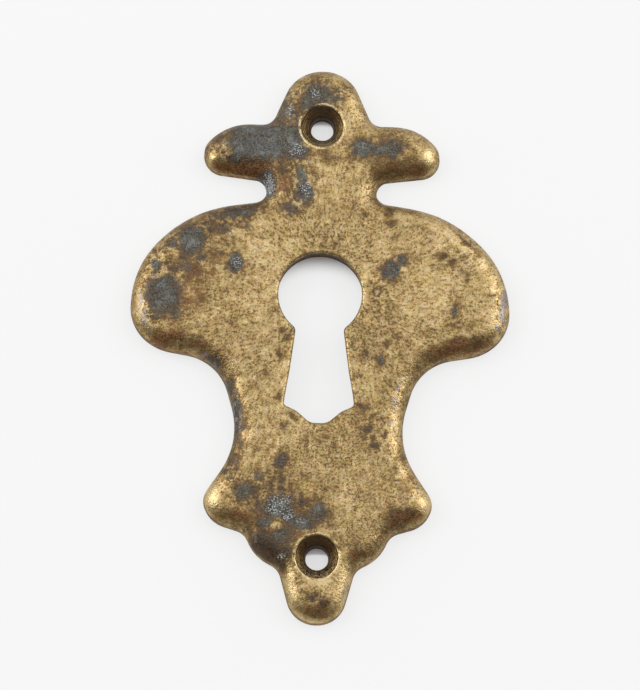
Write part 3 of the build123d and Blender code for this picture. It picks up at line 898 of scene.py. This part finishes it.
def noise(tree, place, size, detail, roughness):
    """Noise with features of about the given size in millimetres."""
    inputs = {"Vector": place, "Scale": 1 / (size * MM), "Detail": detail, "Roughness": roughness}
    return node(tree, "ShaderNodeTexNoise", inputs).outputs


def around(tree, value, strength):
    """A noise value turned into a shift up or down."""
    return times(tree, calc(tree, "SUBTRACT", value, 0.5), strength)


def shifts(tree, noises, strengths):
    """Sum of the shifts from several noises, each with its own strength."""
    return plus(tree, *(around(tree, noises[name]["Fac"], strength) for name, strength in strengths.items()))


def painted(tree):
    """Each painted value by its name."""
    values = {}
    for name, parts in PAINT.items():
        colour = node(tree, "ShaderNodeAttribute", attribute_name=name).outputs["Color"]
        channels = node(tree, "ShaderNodeSeparateColor", {"Color": colour}).outputs
        values.update(zip(parts, channels))
    return values


# Brass

def pit_group():
    """Round pits of uneven size, scattered over a share of the cells of the given size in millimetres."""
    tree = bpy.data.node_groups.new("pits", "ShaderNodeTree")
    tree.interface.new_socket("Vector", in_out="INPUT", socket_type="NodeSocketVector")
    tree.interface.new_socket("Size", in_out="INPUT", socket_type="NodeSocketFloat")
    tree.interface.new_socket("Share", in_out="INPUT", socket_type="NodeSocketFloat")
    tree.interface.new_socket("Mask", in_out="OUTPUT", socket_type="NodeSocketFloat")
    given = node(tree, "NodeGroupInput").outputs
    scale = calc(tree, "DIVIDE", 1 / MM, given["Size"])
    cells = node(tree, "ShaderNodeTexVoronoi", {"Vector": given["Vector"], "Scale": scale}).outputs
    chance = node(tree, "ShaderNodeSeparateColor", {"Color": cells["Color"]}).outputs
    there = calc(tree, "LESS_THAN", chance["Red"], given["Share"])
    least, spread = PIT_RADIUS
    inside = calc(tree, "SUBTRACT", more(tree, least, chance["Green"], spread), cells["Distance"])
    mask = times(tree, there, between(tree, inside, 0.0, PIT_SLOPE))
    node(tree, "NodeGroupOutput", {"Mask": mask})
    return tree


def pit_mask(tree, place, pits, size, share, strength):
    """Pits of one size, at a strength."""
    inputs = {"Vector": place, "Size": size, "Share": share}
    return times(tree, node(tree, "ShaderNodeGroup", inputs, node_tree=pits).outputs["Mask"], strength)


def from_screws(tree, place):
    """Distance from the nearer screw hole's axis, in millimetres."""
    gaps = []
    for height in SCREW_HEIGHTS:
        gap = vector(tree, "SUBTRACT", place, (0, height * MM, 0))
        gap = vector(tree, "MULTIPLY", gap, (1 / MM, 1 / MM, 0))
        gaps.append(vector(tree, "LENGTH", gap))
    return calc(tree, "MINIMUM", *gaps)


def hole_grime_and_shade(tree, radius, tarnish_and_shade):
    """Depth of the grime in a screw hole, deeper low down, with the concentric marks of the countersink and
    the painted shade towards its top that comes with the painted tarnish.
    """
    inputs = {"W": radius, "Scale": RING_SCALE, "Detail": RING_DETAIL}
    rings = node(tree, "ShaderNodeTexNoise", inputs, noise_dimensions="1D").outputs["Fac"]
    grime = more(tree, tarnish_and_shade, between(tree, radius, *LOW_GRIME_FADE), LOW_GRIME)
    return plus(tree, grime, around(tree, rings, RING_DEPTH))


def tarnish_depth(tree, noises, paint, stained):
    """Depth of tarnish: clouds and crumbs where it is painted, fine grain where the metal is bare."""
    clouds = times(tree, shifts(tree, noises, CLOUDS), more(tree, 1.0, stained, CLOUDS_IN_STAINS))
    broken = more(tree, times(tree, stained, CRUMBS_IN_STAINS), paint["crumbs"], CRUMBS_PAINTED)
    crumbs = times(tree, broken, shifts(tree, noises, CRUMBS))
    shift = plus(tree, clouds, shifts(tree, noises, GRAIN), crumbs)
    return plus(tree, paint["tarnish_and_shade"], times(tree, shift, more(tree, 1.0, paint["rubbed_and_highlit"], -RUBBED_AND_HIGHLIT_SHIFT)))


def slate_tone(tree, noises, slate):
    """Colour of the slate: several dark tones, paler where it is thick and bluer where it is thickest."""
    thick = calc(tree, "MINIMUM", slate, 1.0)
    tone = more(tree, noises["slate"]["Fac"], thick, SLATE_THICKNESS)
    tone = ramp(tree, between(tree, tone, *SLATE_TONE_FADE), SLATE)
    return blend(tree, times(tree, between(tree, slate, *BLUE_FADE), BLUE_SHARE), tone, SLATE_BLUE)


def speck_mask(tree, place, pits, noises, paint, depth, slate):
    """Specks and pits, fewer where the brass is rubbed or has a painted highlight, and none in slate or deep
    tarnish.
    """
    crowding = between(tree, noises["broad"]["Fac"], *CROWD_FADE)
    specks = between(tree, more(tree, noises["fine"]["Fac"], crowding, SPECK_CROWDING), *SPECK_FADE)
    small = times(tree, pit_mask(tree, place, pits, *SMALL_PITS), crowding)
    large = pit_mask(tree, place, pits, *LARGE_PITS)
    bare = times(tree, between(tree, depth, *SPECK_DEPTH_FADE), rest(tree, slate))
    bare = times(tree, bare, more(tree, 1.0, paint["rubbed_and_highlit"], -RUBBED_AND_HIGHLIT_SPECKS))
    return times(tree, most(tree, specks, small, large), bare)


def crystal_mask(tree, noises, salts):
    """Pale crystals, crowded where the salts are painted."""
    crystals = more(tree, noises["grit"]["Fac"], salts, CRYSTAL_CROWDING)
    return times(tree, between(tree, crystals, *CRYSTAL_FADE), between(tree, salts, *SALT_FADE))


def lip_and_highlight_mask(tree, noises, radius, front):
    """Burnished lip of each countersink with its painted highlight, with gaps."""
    away = calc(tree, "ABSOLUTE", calc(tree, "SUBTRACT", radius, LIP_RADIUS))
    gaps = between(tree, noises["mottle"]["Fac"], *LIP_GAP_FADE)
    return times(tree, between(tree, away, *LIP_FADE), front, gaps)


def brass(pits):
    """Gold-brown brass that darkens through brown to slate with the painted depth of tarnish."""
    material = bpy.data.materials.new("worn_brass")
    material.use_nodes = True
    tree = material.node_tree
    tree.nodes.clear()
    place = node(tree, "ShaderNodeTexCoord").outputs["Object"]
    paint = painted(tree)
    noises = {name: noise(tree, place, *settings) for name, settings in NOISES.items()}
    front = rest(tree, paint["raw"])
    radius = plus(tree, from_screws(tree, place), shifts(tree, noises, RING_WANDER))
    in_hole = times(tree, between(tree, radius, *HOLE_FADE), front)

    # Masks
    stained = between(tree, paint["tarnish_and_shade"], *STAINED_FADE)
    depth = tarnish_depth(tree, noises, paint, stained)
    depth = toward(tree, in_hole, depth, hole_grime_and_shade(tree, radius, paint["tarnish_and_shade"]))
    rust = between(tree, plus(tree, paint["rust"], shifts(tree, noises, RUST_EDGE)), *RUST_FADE)
    rust = times(tree, rust, between(tree, depth, *RUST_DEPTH_FADE))
    slate = between(tree, plus(tree, paint["slate"], shifts(tree, noises, SLATE_EDGE)), *SLATE_FADE)
    black = between(tree, noises["crumb"]["Fac"], *CRUST_FADE)
    black = times(tree, black, most(tree, slate, stained, paint["crumbs"]))
    film_and_sheen = between(tree, plus(tree, paint["film_and_sheen"], shifts(tree, noises, FILM_AND_SHEEN_EDGE)), *FILM_AND_SHEEN_FADE)
    specks = speck_mask(tree, place, pits, noises, paint, depth, slate)
    crystals = crystal_mask(tree, noises, paint["salts"])
    lip_and_highlight = lip_and_highlight_mask(tree, noises, radius, front)

    # Colour, laid on coat by coat, with a slight change of hue and the sparkle of the grain
    colour = ramp(tree, depth, TARNISH)
    colour = blend(tree, times(tree, rust, RUST_SHARE), colour, RUST)
    colour = blend(tree, slate, colour, slate_tone(tree, noises, paint["slate"]))
    colour = blend(tree, times(tree, black, BLACK_SHARE), colour, CRUST_BLACK)
    # Lilac film, partly painted sheen
    colour = blend(tree, times(tree, film_and_sheen, FILM_AND_SHEEN_SHARE), colour, FILM_AND_SHEEN)
    colour = blend(tree, times(tree, specks, SPECK_SHARE), colour, PIT_BROWN)
    colour = blend(tree, crystals, colour, BLOOM)
    # Burnished lip, partly painted highlight
    colour = blend(tree, times(tree, lip_and_highlight, LIP_AND_HIGHLIGHT_SHARE), colour, LIP_GOLD_AND_HIGHLIGHT)
    tint = vector(tree, "MULTIPLY_ADD", noises["tint"]["Color"], TINT_SPREAD, TINT_BASE)
    calm = most(
        tree, times(tree, slate, SLATE_SPARKLE), times(tree, in_hole, HOLE_SPARKLE),
        times(tree, paint["rubbed_and_highlit"], RUBBED_AND_HIGHLIT_SPARKLE), film_and_sheen,
    )
    sparkle = more(tree, 1.0, shifts(tree, noises, SPARKLE), rest(tree, calm))
    colour = vector(tree, "MULTIPLY", vector(tree, "MULTIPLY", colour, tint), most(tree, sparkle, DULLEST))

    # Crust hides the metal, and specks, slate and crystals give relief
    crust = most(
        tree, times(tree, slate, SLATE_CRUST), times(tree, specks, SPECK_CRUST),
        times(tree, between(tree, depth, *CRUST_DEPTH_FADE), TARNISH_CRUST), crystals,
    )
    roughness = more(tree, ROUGHNESS, noises["mottle"]["Fac"], MOTTLE_ROUGHNESS)
    roughness = more(tree, roughness, paint["rubbed_and_highlit"], -RUBBED_AND_HIGHLIT_ROUGHNESS)
    roughness = more(tree, roughness, paint["raw"], RAW_ROUGHNESS)
    roughness = more(tree, roughness, paint["wall"], WALL_ROUGHNESS)
    relief = more(tree, noises["fine"]["Fac"], noises["grit"]["Fac"], GRIT_RELIEF)
    for share, height in ((specks, SPECK_RELIEF), (slate, SLATE_RELIEF), (crystals, CRYSTAL_RELIEF)):
        relief = more(tree, relief, share, height)
    inputs = {"Height": relief, "Strength": RELIEF_STRENGTH, "Distance": RELIEF_HEIGHT * MM}
    shader = node(tree, "ShaderNodeBsdfPrincipled", {
        "Base Color": colour,
        "Metallic": rest(tree, crust),
        "Roughness": roughness,
        "Normal": node(tree, "ShaderNodeBump", inputs).outputs["Normal"],
        "Coat Weight": more(tree, COAT, paint["wall"], -COAT),
        "Coat Roughness": COAT_ROUGHNESS,
    })
    node(tree, "ShaderNodeOutputMaterial", {"Surface": shader.outputs["BSDF"]})
    return material


# Studio

def photo_camera():
    """Camera nearly overhead, looking up the plate from below, with a slight roll."""
    back = Vector((0, -sin(radians(CAMERA_TILT)), cos(radians(CAMERA_TILT))))
    bpy.ops.object.camera_add()
    camera = bpy.context.object
    turn = Matrix.Rotation(radians(CAMERA_TILT), 4, "X") @ Matrix.Rotation(radians(CAMERA_ROLL), 4, "Z")
    camera.matrix_world = Matrix.Translation((Vector(CAMERA_TARGET) + back * CAMERA_DISTANCE) * MM) @ turn
    camera.data.sensor_width = SENSOR
    camera.data.lens = CAMERA_DISTANCE / PIXEL * SENSOR / PICTURE_LONG_SIDE
    camera.data.clip_start, camera.data.clip_end = CAMERA_CLIP
    bpy.context.scene.camera = camera


def lamp(name, place, size, radiance):
    """Soft rectangular lamp turned to the plate. Its radiance is relative to a white card in plain light."""
    bpy.ops.object.light_add(type="AREA", location=place)
    made = bpy.context.object
    made.name = name
    made.rotation_euler = (-Vector(place)).to_track_quat("-Z", "Y").to_euler()
    made.data.shape = "RECTANGLE"
    made.data.size, made.data.size_y = size
    made.data.energy = radiance * size[0] * size[1] * pi


def hole_glow(tree, place, height, reach, half_width, half_height, level):
    """Share of the table's glow that is left round one hole: all outside it, and less at its shaded top."""
    spot = vector(tree, "SUBTRACT", place, (0, height * MM, 0))
    outside = calc(tree, "GREATER_THAN", vector(tree, "LENGTH", spot), reach * MM)
    upper = vector(tree, "MAXIMUM", spot, (-1, 0, -1))
    upper = vector(tree, "DIVIDE", upper, (half_width * MM, half_height * MM, 1))
    bright = between(tree, vector(tree, "LENGTH", upper), *HOLE_SHADE_FADE)
    return most(tree, times(tree, bright, level), outside)


def table_white():
    """White table: bright to the camera and in reflections, with the plate's shadow, and clear from below."""
    material = bpy.data.materials.new("white_table")
    material.use_nodes = True
    tree = material.node_tree
    tree.nodes.clear()
    place = node(tree, "ShaderNodeTexCoord").outputs["Object"]
    path = node(tree, "ShaderNodeLightPath").outputs
    seen = most(tree, path["Is Camera Ray"], path["Is Glossy Ray"], path["Is Transmission Ray"])
    share = times(tree, seen, *(hole_glow(tree, place, *shade) for shade in HOLE_SHADES), TABLE_GLOW)
    matt = node(tree, "ShaderNodeBsdfDiffuse", {"Color": TABLE_WHITE}).outputs[0]
    glow = node(tree, "ShaderNodeEmission", {"Color": TABLE_WHITE, "Strength": 1.0}).outputs[0]
    white = node(tree, "ShaderNodeMixShader", {0: share, 1: matt, 2: glow}).outputs[0]
    below = node(tree, "ShaderNodeNewGeometry").outputs["Backfacing"]
    below = times(tree, below, path["Is Camera Ray"])
    clear = node(tree, "ShaderNodeBsdfTransparent").outputs[0]
    both = node(tree, "ShaderNodeMixShader", {0: below, 1: white, 2: clear}).outputs[0]
    node(tree, "ShaderNodeOutputMaterial", {"Surface": both})
    return material


def studio():
    """Plain white table in a pale room, with large soft lamps overhead, at both sides and at the back."""
    bpy.ops.mesh.primitive_plane_add(size=TABLE_SIDE, location=(0, 0, -TABLE_DROP * MM))
    table = bpy.context.object
    table.name = "table"
    table.data.materials.append(table_white())
    world = bpy.data.worlds.new("room")
    bpy.context.scene.world = world
    world.use_nodes = True
    background = world.node_tree.nodes["Background"].inputs
    background["Color"].default_value = (1, 1, 1, 1)
    background["Strength"].default_value = ROOM_LEVEL
    for name, place, size, radiance in LAMPS:
        lamp(name, place, size, radiance)
    bpy.context.scene.view_settings.view_transform = "Standard"


plate = cast_plate()
depth = depth_inside(plate)
keyhole, outwards = keyhole_gap(plate)
gap = np.minimum(keyhole, screw_distance(points_of(plate)) - COUNTERSINK_RADIUS)
wear_the_roll(plate, depth)
wear_the_keyhole(plate, keyhole, outwards)
waviness(plate, gap)
raise_grains(plate)
choose(plate)
bpy.ops.object.shade_smooth()
paint_patina(plate, depth, gap)
plate.data.materials.append(brass(pit_group()))
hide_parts("escutcheon_plate")
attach(plate, "root")
studio()
photo_camera()
